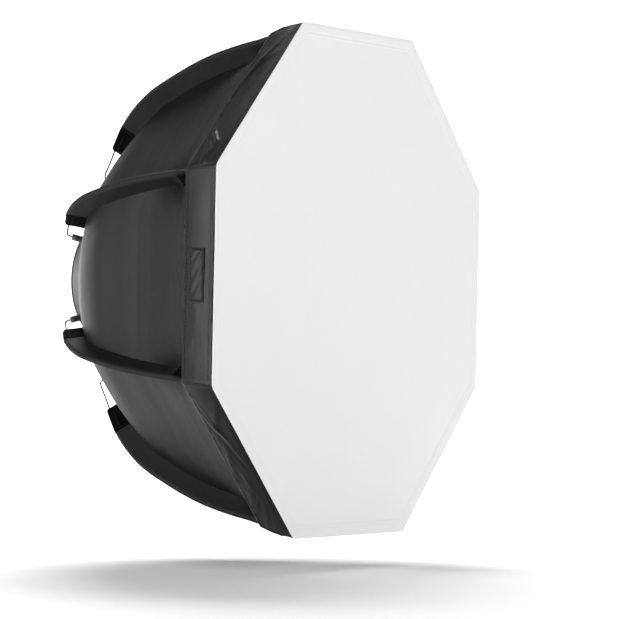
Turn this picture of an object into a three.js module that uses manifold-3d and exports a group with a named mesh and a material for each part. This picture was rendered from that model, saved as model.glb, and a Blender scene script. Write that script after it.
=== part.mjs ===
// A folding eight-sided studio softbox, opened out. Millimetres, +Z up.
// The origin is the centre of the hub's mounting face and the light shines along -Y.
// Outlines lie in a radial plane: "radius" is measured from the box's axis, "forward" from the mounting face.
import * as THREE from 'three';
import { mergeVertices } from 'three/addons/utils/BufferGeometryUtils.js';
import Module from 'manifold-3d';

const wasm = await Module();
wasm.setup();

// Driving dimensions
const SIDES = 8;
const HALF_SIDE_ANGLE = Math.PI / SIDES;
const GAP = 0.3;

const FRONT_RADIUS = 330;
const BOX_DEPTH = 369;
const HEM_DEPTH = 50;
const HEM_REAR_RADIUS = 318;
const HEM_THICKNESS = 2.4;
const HEM_LIP_DEPTH = 2.5;
const HEM_LIP_WIDTH = 20;
const HEM_LIP_TAPER = 1;
const DIFFUSER_THICKNESS = 2;
const RIM_INSET = DIFFUSER_THICKNESS + GAP;

const FABRIC_THICKNESS = 1.6;
const SEAM_CLEARANCE = 4.6;
const GORE_STEPS = 12;

const ROD_RADIUS = 2.2;
const BORE_RADIUS = 3.2;
const SLEEVE_RADIUS = 4.2;
const SLEEVE_HALF_THICKNESS = 2.2;
const SLEEVE_HEIGHT = 24;
const SLEEVE_STEPS = 15;
const ROD_STEPS = 18;
const CAP_STEPS = 2;
const CAP_EXTRA = 1.1;
const CORD_RADIUS = 1;
const CORD_STEPS = 10;
const ROUND_SIDES = 6;

const HUB_OUTER_RADIUS = 76;
const HUB_BORE_RADIUS = 58;
const HUB_LENGTH = 43;
const HUB_SEGMENTS = 32;
const HUB_REAR_CHAMFER = 2;
const HUB_FRONT_CHAMFER = 5;
const HINGE_RADIUS = 84;
const HINGE_FORWARD = 40;
const PIN_RADIUS = 2;
const PIN_HOLE_RADIUS = 2.6;
const PIN_SIDES = 8;
const EAR_THICKNESS = 3;
const EAR_HEIGHT = 12;
const EAR_BEYOND_PIN = 6;
const EAR_ROOT = 4;
const ARM_WIDTH = 8;
const EAR_OFFSET = ARM_WIDTH / 2 + GAP + EAR_THICKNESS / 2;
const ARM_HEIGHT = 8;
const ARM_END_SHARE = 0.6;
const ARM_BOSS_SHARE = 0.7;
const ARM_KNEE_SHIFT = 1;
const SHANK_TIP = [134, 36];
const SHANK_LENGTH = 25;
const SHANK_BASE_RADIUS = 6.5;
const SHANK_TIP_RADIUS = 3.8;
const SHANK_HOLE_RADIUS = 1.9;
const SHANK_HOLE_DEPTH = 8;
const SHANK_TAPER_SHARE = 0.7;
const SHANK_SIDES = 10;
const SHANK_TILT = Math.PI / 4;
const SHANK_CLEARANCE = 0.8;
const CLEARANCE_LENGTH = 60;
const CLEARANCE_BACK = 12;
const CLEARANCE_SIDES = 12;

const TAB_SIZE = [19, 11, 2];
const TAB_LIFT = 2;
const TAB_FROM_CORNER = 8;
const TAB_BEHIND_HEM = 1;
const PATCH_SIZE = [24, 62, 1.2];
const PATCH_BACK = 26;

const COLOURS = {
  canopy: 0x2b2b2d, hem: 0x38363b, sleeve: 0x232324, webbing: 0x121213, diffuser: 0xf1f1ef,
  rod: 0x3a3b3d, hub: 0xa7a9ac, arm: 0x161617, cord: 0x3b3b3d,
};

// Curves in a rib's radial plane: x is the radius and y is minus the forward distance.
const radial = ([radius, forward]) => new THREE.Vector3(radius, -forward, 0);
const curveThrough = (points) => new THREE.CatmullRomCurve3(points.map(radial), false, 'centripetal');

const ROD_LINE = curveThrough([[319, 357], [309, 316], [300, 271], [287, 223], [266, 171], [242, 124],
  [211, 86], [174, 57]]);
const CANOPY_LINE = curveThrough([[312, 317], [291, 277], [266, 226], [229, 143], [190, 89], [140, 55],
  [84, 25]]);
const CORD_LINE = curveThrough([[180, 61.2], [174, 57], [163, 49.3], [152, 41.2], [144, 35.1], [139.2, 32.9],
  [134.6, 35.4], [130.5, 39.5]]);
const ARM_LINE = [[HINGE_RADIUS, HINGE_FORWARD], [118, 57], [158, 80]];

const SLEEVE_START = 0.135;
const CAP_START = 0.93;
const ROD_END = 0.96;
const CAP_GAP = 0.002;

class CurvePart extends THREE.Curve {
  constructor(whole, start, end) {
    super();
    this.whole = whole;
    this.start = start;
    this.end = end;
  }

  getPoint(t, target = new THREE.Vector3()) {
    return this.whole.getPointAt(this.start + (this.end - this.start) * t, target);
  }
}

const part = new THREE.Group();

const finish = (geometry, name, colour, parent, roughness = 0.8, metalness = 0) => {
  const material = new THREE.MeshStandardMaterial({ color: COLOURS[colour], roughness, metalness });
  const mesh = new THREE.Mesh(geometry, material);
  mesh.name = name;
  parent.add(mesh);
  return mesh;
};

const solid = (geometry) => {
  const bare = geometry.clone();
  bare.deleteAttribute('normal');
  bare.deleteAttribute('uv');
  const merged = mergeVertices(bare, 1e-3);
  return new wasm.Manifold(new wasm.Mesh({
    numProp: 3,
    vertProperties: Float32Array.from(merged.attributes.position.array),
    triVerts: Uint32Array.from(merged.index.array),
  }));
};

const fromSolid = (body) => {
  const mesh = body.getMesh();
  const geometry = new THREE.BufferGeometry();
  geometry.setAttribute('position', new THREE.BufferAttribute(mesh.vertProperties, 3));
  geometry.setIndex(new THREE.BufferAttribute(mesh.triVerts, 1));
  geometry.computeVertexNormals();
  return geometry;
};

const box = (width, height, depth, x, y, z) => (
  new THREE.BoxGeometry(width, height, depth).translate(x, y, z)
);

const circlePath = (radius, sides) => {
  const turn = (i) => (i + 0.5) * 2 * Math.PI / sides;
  return Array.from({ length: sides }, (_, i) => new THREE.Vector2(
    radius * Math.cos(turn(i)), radius * Math.sin(turn(i))));
};
const roundBar = (radius) => new THREE.Shape(circlePath(radius, ROUND_SIDES));

const sweep = (section, path, steps) => new THREE.ExtrudeGeometry(section, { extrudePath: path, steps });

// A sleeve's section: a round pocket for the rod, with a flat double layer running inwards to the seam.
const sleeveSection = (extra) => {
  const pocket = SLEEVE_RADIUS + extra;
  const half = SLEEVE_HALF_THICKNESS + extra / 2;
  const neck = Math.sqrt(pocket ** 2 - half ** 2);
  const section = new THREE.Shape();
  section.moveTo(half, SLEEVE_HEIGHT);
  section.lineTo(-half, SLEEVE_HEIGHT);
  section.lineTo(-half, neck);
  section.lineTo(-pocket, 0);
  section.lineTo(-pocket * Math.SQRT1_2, -pocket * Math.SQRT1_2);
  section.lineTo(0, -pocket);
  section.lineTo(pocket * Math.SQRT1_2, -pocket * Math.SQRT1_2);
  section.lineTo(pocket, 0);
  section.lineTo(half, neck);
  section.closePath();
  section.holes.push(new THREE.Path(circlePath(BORE_RADIUS, ROUND_SIDES)));
  return section;
};

// Everything on one rib, built along local X and turned about the box's axis by its parent group.
const addRib = (number, angle) => {
  const rib = new THREE.Group();
  rib.rotation.y = angle;
  part.add(rib);
  const named = (piece) => `${piece}_${number}`;

  const rod = sweep(roundBar(ROD_RADIUS), new CurvePart(ROD_LINE, 0, ROD_END), ROD_STEPS);
  finish(rod, named('rib_rod'), 'rod', rib, 0.4, 0.6);

  const sleevePath = new CurvePart(ROD_LINE, SLEEVE_START, CAP_START);
  finish(sweep(sleeveSection(0), sleevePath, SLEEVE_STEPS), named('rib_sleeve'), 'sleeve', rib);

  const capPath = new CurvePart(ROD_LINE, CAP_START + CAP_GAP, 1);
  finish(sweep(sleeveSection(CAP_EXTRA), capPath, CAP_STEPS), named('rib_end_cap'), 'webbing', rib);

  finish(sweep(roundBar(CORD_RADIUS), CORD_LINE, CORD_STEPS), named('tie_cord'), 'cord', rib);

  addTab(rib, number, named('front_tab'));
  addArm(rib, named('hub_arm'));
};

// The tab that sews a sleeve's front end down behind the hem, on the even-numbered gore beside its rib.
const addTab = (rib, number, name) => {
  const side = number % 2 ? -1 : 1;
  const [width, length, thickness] = TAB_SIZE;
  const radius = HEM_REAR_RADIUS * Math.cos(HALF_SIDE_ANGLE) + TAB_LIFT;
  const forward = BOX_DEPTH - HEM_DEPTH - TAB_BEHIND_HEM - length / 2;
  const fromMiddle = HEM_REAR_RADIUS * Math.sin(HALF_SIDE_ANGLE) - width / 2 - TAB_FROM_CORNER;
  const tab = new THREE.Group();
  tab.rotation.y = side * HALF_SIDE_ANGLE;
  finish(box(thickness, length, width, radius, -forward, side * fromMiddle), name, 'webbing', tab);
  rib.add(tab);
};

// A hub arm: a hinge boss on a pin, a bar lying inside the seam, and a tapered shank with a corded ferrule.
const addArm = (rib, name) => {
  const reach = ARM_LINE.map(([radius, forward]) => new THREE.Vector2(radius, -forward));
  const half = ARM_HEIGHT / 2;
  const boss = half * ARM_BOSS_SHARE;
  const end = half * ARM_END_SHARE;
  const corner = (point, x, y) => point.clone().add(new THREE.Vector2(x, y));
  const outline = new THREE.Shape([
    corner(reach[0], -boss, boss), corner(reach[0], -boss, -boss),
    corner(reach[1], -ARM_KNEE_SHIFT, -half), corner(reach[2], 0, -end),
    corner(reach[2], end, end), corner(reach[1], ARM_KNEE_SHIFT, half),
  ]);
  const bar = new THREE.ExtrudeGeometry(outline, { depth: ARM_WIDTH, bevelEnabled: false });
  bar.translate(0, 0, -ARM_WIDTH / 2);

  const pinLength = 2 * (EAR_OFFSET + EAR_THICKNESS / 2);
  const pin = new THREE.CylinderGeometry(PIN_RADIUS, PIN_RADIUS, pinLength, PIN_SIDES);
  pin.rotateX(Math.PI / 2);
  pin.translate(HINGE_RADIUS, -HINGE_FORWARD, 0);

  const shankProfile = [
    [0, 0], [SHANK_BASE_RADIUS, 0], [SHANK_TIP_RADIUS, SHANK_LENGTH * SHANK_TAPER_SHARE],
    [SHANK_TIP_RADIUS, SHANK_LENGTH], [SHANK_HOLE_RADIUS, SHANK_LENGTH],
    [SHANK_HOLE_RADIUS, SHANK_LENGTH - SHANK_HOLE_DEPTH], [0, SHANK_LENGTH - SHANK_HOLE_DEPTH],
  ].map(([x, y]) => new THREE.Vector2(x, y));
  const shank = new THREE.LatheGeometry(shankProfile, SHANK_SIDES);
  shank.rotateZ(-SHANK_TILT);
  const foot = SHANK_LENGTH * Math.SQRT1_2;
  shank.translate(SHANK_TIP[0] - foot, -SHANK_TIP[1] - foot, 0);

  const arm = solid(bar).add(solid(pin)).add(solid(shank));
  finish(fromSolid(arm), name, 'arm', rib, 0.5);
};

// The round clearance that a hub arm's shank needs where it comes out through the seam.
const shankClearance = (angle) => {
  const radius = SHANK_BASE_RADIUS + SHANK_CLEARANCE;
  const hole = new THREE.CylinderGeometry(radius, radius, CLEARANCE_LENGTH, CLEARANCE_SIDES);
  hole.rotateZ(-SHANK_TILT);
  hole.translate(SHANK_TIP[0] - CLEARANCE_BACK, -SHANK_TIP[1] - CLEARANCE_BACK, 0);
  return solid(hole.rotateY(angle));
};

// A gore: one flat-sided curved panel, cut back from the seam plane on both sides.
const addGore = (number, angle) => {
  const flat = Math.cos(HALF_SIDE_ANGLE);
  const outer = CANOPY_LINE.getSpacedPoints(GORE_STEPS).map((p) => new THREE.Vector2(p.x * flat, p.y));
  const inner = outer.map((p, i) => {
    const before = outer[Math.max(i - 1, 0)];
    const after = outer[Math.min(i + 1, GORE_STEPS)];
    const along = after.clone().sub(before).normalize();
    return new THREE.Vector2(p.x - along.y * FABRIC_THICKNESS, p.y + along.x * FABRIC_THICKNESS);
  });
  const strip = new THREE.Shape([...outer, ...inner.reverse()]);
  const sheet = new THREE.ExtrudeGeometry(strip, { depth: FRONT_RADIUS, bevelEnabled: false });
  sheet.translate(0, 0, -FRONT_RADIUS / 2);

  const apex = SEAM_CLEARANCE / Math.sin(HALF_SIDE_ANGLE);
  const rise = FRONT_RADIUS * Math.tan(HALF_SIDE_ANGLE);
  const wedgeShape = new THREE.Shape([
    new THREE.Vector2(apex, 0), new THREE.Vector2(apex + FRONT_RADIUS, -rise),
    new THREE.Vector2(apex + FRONT_RADIUS, rise)]);
  const wedge = new THREE.ExtrudeGeometry(wedgeShape, { depth: BOX_DEPTH, bevelEnabled: false });
  wedge.rotateX(Math.PI / 2);

  let gore = solid(sheet).intersect(solid(wedge));
  gore = gore.subtract(shankClearance(HALF_SIDE_ANGLE)).subtract(shankClearance(-HALF_SIDE_ANGLE));
  const mesh = finish(fromSolid(gore), `canopy_gore_${number}`, 'canopy', part);
  mesh.rotation.y = angle;
};

// The hem: one band round the front rim, with a lip behind the diffuser for the hook-and-loop tape.
// The diffuser covers the whole front of it.
const addHem = () => {
  const band = HEM_THICKNESS / Math.cos(HALF_SIDE_ANGLE);
  const rimFront = -BOX_DEPTH + RIM_INSET;
  const lipRadius = FRONT_RADIUS - band - HEM_LIP_WIDTH;
  const profile = [
    [FRONT_RADIUS, rimFront], [HEM_REAR_RADIUS, -BOX_DEPTH + HEM_DEPTH],
    [HEM_REAR_RADIUS - band, -BOX_DEPTH + HEM_DEPTH],
    [FRONT_RADIUS - band - HEM_LIP_TAPER, rimFront + HEM_LIP_DEPTH],
    [lipRadius, rimFront + HEM_LIP_DEPTH], [lipRadius, rimFront], [FRONT_RADIUS, rimFront],
  ].map(([x, y]) => new THREE.Vector2(x, y));
  const ring = new THREE.LatheGeometry(profile, SIDES).rotateY(HALF_SIDE_ANGLE);
  finish(ring, 'front_hem', 'hem', part, 0.45);
};

const addDiffuser = () => {
  const sheet = new THREE.CylinderGeometry(FRONT_RADIUS, FRONT_RADIUS, DIFFUSER_THICKNESS, SIDES);
  sheet.rotateY(HALF_SIDE_ANGLE).translate(0, -BOX_DEPTH + DIFFUSER_THICKNESS / 2, 0);
  finish(sheet, 'diffuser', 'diffuser', part, 0.9);
};

// The stitched patch on the hem's -X side.
const addPatch = () => {
  const [length, height, thickness] = PATCH_SIZE;
  const flat = Math.cos(HALF_SIDE_ANGLE);
  const taper = (FRONT_RADIUS - HEM_REAR_RADIUS) / (HEM_DEPTH - RIM_INSET);
  const slope = Math.atan(taper * flat);
  const surface = (FRONT_RADIUS - taper * (PATCH_BACK - RIM_INSET)) * flat;
  const geometry = box(thickness, length, height, 0, 0, 0).rotateZ(-slope);
  geometry.translate(-surface - thickness / 2 - GAP, -BOX_DEPTH + PATCH_BACK, 0);
  finish(geometry, 'hem_patch', 'hem', part, 0.5);
};

// The hub: a ring with eight forked ears that carry the arms' hinge pins.
const addHub = () => {
  const profile = [
    [HUB_BORE_RADIUS, 0], [HUB_OUTER_RADIUS - HUB_REAR_CHAMFER, 0], [HUB_OUTER_RADIUS, -HUB_REAR_CHAMFER],
    [HUB_OUTER_RADIUS, -HUB_LENGTH], [HUB_BORE_RADIUS + HUB_FRONT_CHAMFER, -HUB_LENGTH],
    [HUB_BORE_RADIUS, -HUB_LENGTH + HUB_FRONT_CHAMFER], [HUB_BORE_RADIUS, 0],
  ].map(([x, y]) => new THREE.Vector2(x, y));
  let hub = solid(new THREE.LatheGeometry(profile.reverse(), HUB_SEGMENTS));
  const earLength = HINGE_RADIUS + EAR_BEYOND_PIN - HUB_OUTER_RADIUS + EAR_ROOT;
  const earMiddle = HUB_OUTER_RADIUS - EAR_ROOT + earLength / 2;
  for (let i = 0; i < SIDES; i += 1) {
    const angle = (i + 0.5) * 2 * HALF_SIDE_ANGLE;
    for (const side of [-1, 1]) {
      const ear = box(earLength, EAR_HEIGHT, EAR_THICKNESS, earMiddle, -HINGE_FORWARD, side * EAR_OFFSET);
      const hole = new THREE.CylinderGeometry(PIN_HOLE_RADIUS, PIN_HOLE_RADIUS, 3 * EAR_THICKNESS, PIN_SIDES);
      hole.rotateX(Math.PI / 2).translate(HINGE_RADIUS, -HINGE_FORWARD, side * EAR_OFFSET);
      hub = hub.add(solid(ear.rotateY(angle))).subtract(solid(hole.rotateY(angle)));
    }
  }
  finish(fromSolid(hub), 'hub_ring', 'hub', part, 0.35, 0.9);
};

for (let i = 0; i < SIDES; i += 1) {
  addRib(i + 1, (i + 0.5) * 2 * HALF_SIDE_ANGLE);
  addGore(i + 1, (i + 1) * 2 * HALF_SIDE_ANGLE);
}
addHem();
addDiffuser();
addPatch();
addHub();

export default part;
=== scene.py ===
"""A folding eight-sided studio softbox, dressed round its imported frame: cloth, webbing, cords, hub and studio."""
import math

import bmesh
import bpy
import numpy as np
from mathutils import Matrix, Vector


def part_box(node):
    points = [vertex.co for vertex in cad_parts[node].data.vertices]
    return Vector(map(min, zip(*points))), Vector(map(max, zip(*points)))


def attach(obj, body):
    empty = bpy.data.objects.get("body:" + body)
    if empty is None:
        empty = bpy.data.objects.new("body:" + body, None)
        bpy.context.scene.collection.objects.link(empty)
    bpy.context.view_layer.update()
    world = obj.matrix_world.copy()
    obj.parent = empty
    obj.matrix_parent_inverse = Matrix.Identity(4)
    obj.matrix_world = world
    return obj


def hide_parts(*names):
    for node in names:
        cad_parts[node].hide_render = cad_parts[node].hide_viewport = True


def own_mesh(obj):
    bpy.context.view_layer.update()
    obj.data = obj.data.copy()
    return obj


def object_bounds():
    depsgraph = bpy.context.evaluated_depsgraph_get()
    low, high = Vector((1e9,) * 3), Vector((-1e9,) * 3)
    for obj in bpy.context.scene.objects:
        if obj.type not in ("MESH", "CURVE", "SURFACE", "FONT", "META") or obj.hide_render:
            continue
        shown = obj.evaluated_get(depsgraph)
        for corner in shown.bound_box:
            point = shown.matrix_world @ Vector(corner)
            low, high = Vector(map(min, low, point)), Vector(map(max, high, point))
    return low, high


bl_info = {
    "name": "Studio softbox",
    "version": (1, 0, 0),
    "blender": (4, 5, 0),
    "location": "View3D > Sidebar > Softbox",
    "description": "Cloth, webbing and metal for a folding octagonal softbox, with a plain studio round it",
    "category": "Object",
}

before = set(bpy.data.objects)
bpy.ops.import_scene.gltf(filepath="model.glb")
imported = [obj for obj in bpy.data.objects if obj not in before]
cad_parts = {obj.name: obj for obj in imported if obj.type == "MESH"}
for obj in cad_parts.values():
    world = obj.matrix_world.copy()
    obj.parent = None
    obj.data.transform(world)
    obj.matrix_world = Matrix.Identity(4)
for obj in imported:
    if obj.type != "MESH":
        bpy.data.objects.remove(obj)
CAD_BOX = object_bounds()

SIDES = 8
HALF = math.pi / SIDES
FLAT = math.cos(HALF)
HALF_WIDTH = math.sin(HALF)
RIB_ANGLES = [(k + 0.5) * 2 * HALF for k in range(SIDES)]
GORE_ANGLES = [(k + 1) * 2 * HALF for k in range(SIDES)]

# The box's depth and radii, read from the frame.
BOX_DEPTH = -CAD_BOX[0].y
HEM_BACK = -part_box("front_hem")[1].y
RIM = CAD_BOX[1].x / FLAT
HEM_BACK_RADIUS = RIM - 0.012

# Routes in a rib's radial plane: distance from the axis, and distance forward of the mounting face, in metres.
ROD_ROUTE = [(0.319, 0.357), (0.309, 0.316), (0.300, 0.271), (0.287, 0.223), (0.266, 0.171), (0.242, 0.124),
             (0.211, 0.086), (0.174, 0.057)]
CORD_ROUTE = [(0.180, 0.0612), (0.174, 0.057), (0.163, 0.0493), (0.152, 0.0412), (0.144, 0.0351),
              (0.1392, 0.0329), (0.1346, 0.0354), (0.1305, 0.0395)]
ARM_ROUTE = [(0.084, 0.040), (0.118, 0.057), (0.158, 0.080)]
SEAM_ROUTE = [(0.315, 0.321), (0.306, 0.314), (0.296, 0.307), (0.288, 0.299), (0.2835, 0.288), (0.276, 0.262),
              (0.267, 0.230), (0.256, 0.200), (0.242, 0.169), (0.228, 0.140), (0.209, 0.115), (0.188, 0.094),
              (0.161, 0.074), (0.125, 0.048), (0.084, 0.024)]
# How far a panel's middle stands out past a straight line between its seams: (distance forward, height).
CROWN_ROUTE = [(0.020, 0.0), (0.030, 0.002), (0.050, 0.0048), (0.075, 0.0060), (0.100, 0.0058), (0.140, 0.0038),
               (0.180, 0.0015), (0.220, 0.0005), (0.245, 0.0035), (0.262, 0.0075), (0.288, 0.0141), (0.299, 0.0151),
               (0.307, 0.0117), (0.314, 0.006), (0.321, 0.0015)]
HINGE = ARM_ROUTE[0]
FERRULE_MOUTH = (0.134, 0.036)
SLEEVE_FROM = 0.13
CAP_FROM = 0.888
# Stitches as (pitch, length, thread radius); the hem's two rows each add their own radius.
HEM_STITCH = (0.0042, 0.0030)
PATCH_STITCH = (0.0034, 0.0025, 0.0004)
SLEEVE_STITCH = (0.0036, 0.0026, 0.00042)
CAP_STITCH = (0.0030, 0.0022, 0.00040)
TAB_STITCH = (0.0028, 0.0020, 0.0004)
# The hem's outer face from its rear seam to the rim, and how far in a sleeve's sewn line lies from its edge.
HEM_FACE = 0.047
SEWN_INSET = 0.0022


# ---------------------------------------------------------------- shapes

def smooth_line(points, count):
    """A centripetal Catmull-Rom line through points, sampled at count places an equal length apart."""
    p = np.array(points, float)
    p = np.vstack([2 * p[0] - p[1], p, 2 * p[-1] - p[-2]])
    step = np.sqrt(np.linalg.norm(np.diff(p, axis=0), axis=1))
    knot = np.concatenate([[0], np.cumsum(step)])
    t = np.linspace(knot[1], knot[-2], 60 * len(points))
    i = np.clip(np.searchsorted(knot, t, side="right") - 1, 1, len(p) - 3)
    k = [knot[i + o] for o in (-1, 0, 1, 2)]
    q = [p[i + o] for o in (-1, 0, 1, 2)]

    def blend(a, b, ta, tb):
        return ((tb - t) / (tb - ta))[:, None] * a + ((t - ta) / (tb - ta))[:, None] * b

    a = [blend(q[j], q[j + 1], k[j], k[j + 1]) for j in range(3)]
    b = [blend(a[0], a[1], k[0], k[2]), blend(a[1], a[2], k[1], k[3])]
    line = blend(b[0], b[1], k[1], k[2])
    run = np.concatenate([[0], np.cumsum(np.linalg.norm(np.diff(line, axis=0), axis=1))])
    even = np.linspace(0, run[-1], count)
    return np.stack([np.interp(even, run, line[:, j]) for j in range(line.shape[1])], 1)


def length_along(line):
    """Distance along a line from its first point, at each of its points."""
    return np.concatenate([[0], np.cumsum(np.linalg.norm(np.diff(line, axis=0), axis=1))])


def normals_of(line):
    """Unit vectors square to a planar line, on the side away from the box's axis."""
    along = np.gradient(line, axis=0)
    along /= np.linalg.norm(along, axis=1)[:, None]
    return np.stack([-along[:, 1], along[:, 0]], 1)


def part_of_line(line, start, end, count):
    """The stretch of a line between two shares of its length, at count even places."""
    run = length_along(line)
    even = np.linspace(start, end, count) * run[-1]
    return np.stack([np.interp(even, run, line[:, j]) for j in range(line.shape[1])], 1)


def smoothstep(edge0, edge1, x):
    """0 below edge0, 1 above edge1, and a smooth S between them."""
    t = np.clip((x - edge0) / (edge1 - edge0), 0, 1)
    return t * t * (3 - 2 * t)


def ripples(a, b, seed, waves=7):
    """A smooth uneven field over a and b: a sum of sine waves whose directions and phases come from seed."""
    rng = np.random.default_rng(seed)
    total = np.zeros(np.broadcast(a, b).shape)
    for _ in range(waves):
        turn, phase, pace = rng.uniform(0, 2 * math.pi), rng.uniform(0, 2 * math.pi), rng.uniform(0.6, 1.7)
        total += np.sin(pace * (a * math.cos(turn) + b * math.sin(turn)) + phase)
    return total / waves


def turned(points, angle):
    """Points given as (out from the axis, forward, sideways) placed at an angle round the box's axis."""
    out, forward, side = points[..., 0], points[..., 1], points[..., 2]
    x = out * math.cos(angle) + side * math.sin(angle)
    z = -out * math.sin(angle) + side * math.cos(angle)
    return np.stack([x, -forward, z], -1)


def grid_quads(rows, cols, wrap_cols=False, start=0):
    """Quads between the points of a grid held row by row; wrap_cols joins the last column to the first."""
    r = np.arange(rows - 1)[:, None]
    c = np.arange(cols if wrap_cols else cols - 1)[None, :]
    n = (c + 1) % cols
    return start + np.stack([r * cols + c, r * cols + n, (r + 1) * cols + n, (r + 1) * cols + c],
                            -1).reshape(-1, 4)


def new_mesh(name, points, quads, uv=None, caps=(), material=None, smooth=True, outwards=True, sharp=None):
    """A mesh object from arrays: points, four-cornered faces, flat end caps and one UV per point. Edges that bend
    by more than sharp, in degrees, are shaded crisp."""
    points = np.asarray(points, float).reshape(-1, 3)
    quads = np.asarray(quads, int)
    mesh = bpy.data.meshes.new(name)
    faces = quads.tolist() + [list(map(int, c)) for c in caps]
    mesh.from_pydata(points.tolist(), [], faces)
    if uv is not None:
        layer = mesh.uv_layers.new(name="cloth")
        corner = np.zeros(len(mesh.loops), np.int32)
        mesh.loops.foreach_get("vertex_index", corner)
        layer.data.foreach_set("uv", np.asarray(uv, np.float32).reshape(-1, 2)[corner].ravel())
    if outwards:
        work = bmesh.new()
        work.from_mesh(mesh)
        bmesh.ops.recalc_face_normals(work, faces=work.faces)
        work.to_mesh(mesh)
        work.free()
    mesh.polygons.foreach_set("use_smooth", [smooth] * len(mesh.polygons))
    if sharp:
        mesh.set_sharp_from_angle(angle=math.radians(sharp))
    obj = bpy.data.objects.new(name, mesh)
    bpy.context.scene.collection.objects.link(obj)
    if material:
        mesh.materials.append(material)
    return obj


def sweep(name, centres, frames, section, closed_ends=True, **rest):
    """A section carried along a line. centres is (n, 3); frames holds two unit vectors at each centre; section is
    (n, m, 2) or (m, 2), in those two directions. The result is a closed tube with flat ends."""
    section = np.broadcast_to(section, (len(centres), *np.shape(section)[-2:]))
    first, second = frames[0][:, None, :], frames[1][:, None, :]
    points = centres[:, None, :] + section[..., :1] * first + section[..., 1:] * second
    rows, cols = points.shape[:2]
    caps = [np.arange(cols)[::-1], (rows - 1) * cols + np.arange(cols)] if closed_ends else []
    run = length_along(centres)
    around = np.concatenate([[0], np.cumsum(np.linalg.norm(np.diff(section[0], axis=0), axis=1))])
    uv = np.stack(np.broadcast_arrays(run[:, None], around[None, :]), -1)
    return new_mesh(name, points, grid_quads(rows, cols, True), uv=uv, caps=caps, **rest)


def lathe(name, profile, steps, place, **rest):
    """A profile of (radius, along) points turned round a line. place is a function that takes (n, 3) points, with
    the line as their third axis, into the part's frame. The profile closes on itself, so a tube has both walls."""
    profile = np.array(profile, float)
    turn = np.linspace(0, 2 * math.pi, steps, endpoint=False)
    ring = np.stack([profile[:, None, 0] * np.cos(turn), profile[:, None, 0] * np.sin(turn),
                     np.broadcast_to(profile[:, None, 1], (len(profile), steps))], -1)
    quads = grid_quads(len(profile) + 1, steps, True) % (len(profile) * steps)
    return new_mesh(name, place(ring), quads, **rest)


def joined(name, objects):
    """One object from several, keeping their materials."""
    with bpy.context.temp_override(active_object=objects[0], selected_editable_objects=objects,
                                   selected_objects=objects):
        bpy.ops.object.join()
    objects[0].name = name
    objects[0].data.name = name
    return objects[0]


def finished(obj):
    """The object with its modifiers applied to its mesh."""
    depsgraph = bpy.context.evaluated_depsgraph_get()
    mesh = bpy.data.meshes.new_from_object(obj.evaluated_get(depsgraph))
    obj.modifiers.clear()
    old, obj.data = obj.data, mesh
    bpy.data.meshes.remove(old)
    return obj


def solidified(obj, thickness, offset):
    """The sheet with its cloth's thickness, applied."""
    wall = obj.modifiers.new("cloth_thickness", "SOLIDIFY")
    wall.thickness = thickness
    wall.offset = offset
    return finished(obj)


def face_sheet(obj, away_from=(0, -0.2, 0)):
    """Turns an open sheet's faces so that most of them look away from a point inside the box."""
    mesh = obj.data
    centre = np.zeros(len(mesh.polygons) * 3)
    normal = np.zeros(len(mesh.polygons) * 3)
    mesh.polygons.foreach_get("center", centre)
    mesh.polygons.foreach_get("normal", normal)
    outward = ((centre.reshape(-1, 3) - np.array(away_from)) * normal.reshape(-1, 3)).sum()
    if outward < 0:
        mesh.flip_normals()
    return obj


def stitches(name, line, normal, pitch, length, radius):
    """A row of thread stitches: short fat lozenges, one every pitch along a line, standing a little off it. Each is
    a six-sided tube whose radius follows half a sine, so it is thickest in its middle."""
    run = length_along(line)
    count = max(int(run[-1] / pitch), 1)
    middle = (np.arange(count) + 0.5) * pitch
    rows, sides = 5, 6
    s = np.linspace(-0.5, 0.5, rows)
    at = middle[:, None] + s[None, :] * length
    centre = np.stack([np.interp(at, run, line[:, j]) for j in range(3)], -1)
    up = np.stack([np.interp(at, run, normal[:, j]) for j in range(3)], -1)
    up /= np.linalg.norm(up, axis=-1, keepdims=True)
    along = centre[:, -1:] - centre[:, :1]
    along = along / np.linalg.norm(along, axis=-1, keepdims=True)
    side = np.cross(np.broadcast_to(along, up.shape), up)
    lift = (np.cos(math.pi * s) * radius * 0.9)[None, :, None]
    centre = centre + up * (lift - radius * 0.2)
    turn = np.linspace(0, 2 * math.pi, sides, endpoint=False)
    wide = (radius * (0.35 + 0.65 * np.cos(math.pi * s)))[None, :, None, None]
    points = (centre[:, :, None, :] + wide * (np.cos(turn)[None, None, :, None] * side[:, :, None, :]
                                             + np.sin(turn)[None, None, :, None] * up[:, :, None, :]))
    quads = grid_quads(rows, sides, True)
    step = rows * sides
    every = (np.arange(count) * step)[:, None, None]
    ends = np.array([np.arange(sides)[::-1], (rows - 1) * sides + np.arange(sides)])
    caps = (ends[None] + every).reshape(-1, sides)
    return new_mesh(name, points, (quads[None] + every).reshape(-1, 4), caps=caps,
                    material=finish_of("thread"), outwards=False)


# ---------------------------------------------------------------- materials

def new_material(name, colour, roughness, metallic=0.0, specular=0.5):
    """A principled material, with its node tree and its shader."""
    material = bpy.data.materials.new(name)
    material.use_nodes = True
    tree = material.node_tree
    shader = tree.nodes["Principled BSDF"]
    shader.inputs["Base Color"].default_value = (*colour, 1)
    shader.inputs["Roughness"].default_value = roughness
    shader.inputs["Metallic"].default_value = metallic
    shader.inputs["Specular IOR Level"].default_value = specular
    material.diffuse_color = (*colour, 1)
    return material, tree, shader


def node(tree, kind, **values):
    """A node with its input values; names with underscores stand for the sockets' names."""
    made = tree.nodes.new(kind)
    for key, value in values.items():
        if hasattr(made, key):
            setattr(made, key, value)
        else:
            made.inputs[key.replace("_", " ")].default_value = value
    return made


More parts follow.
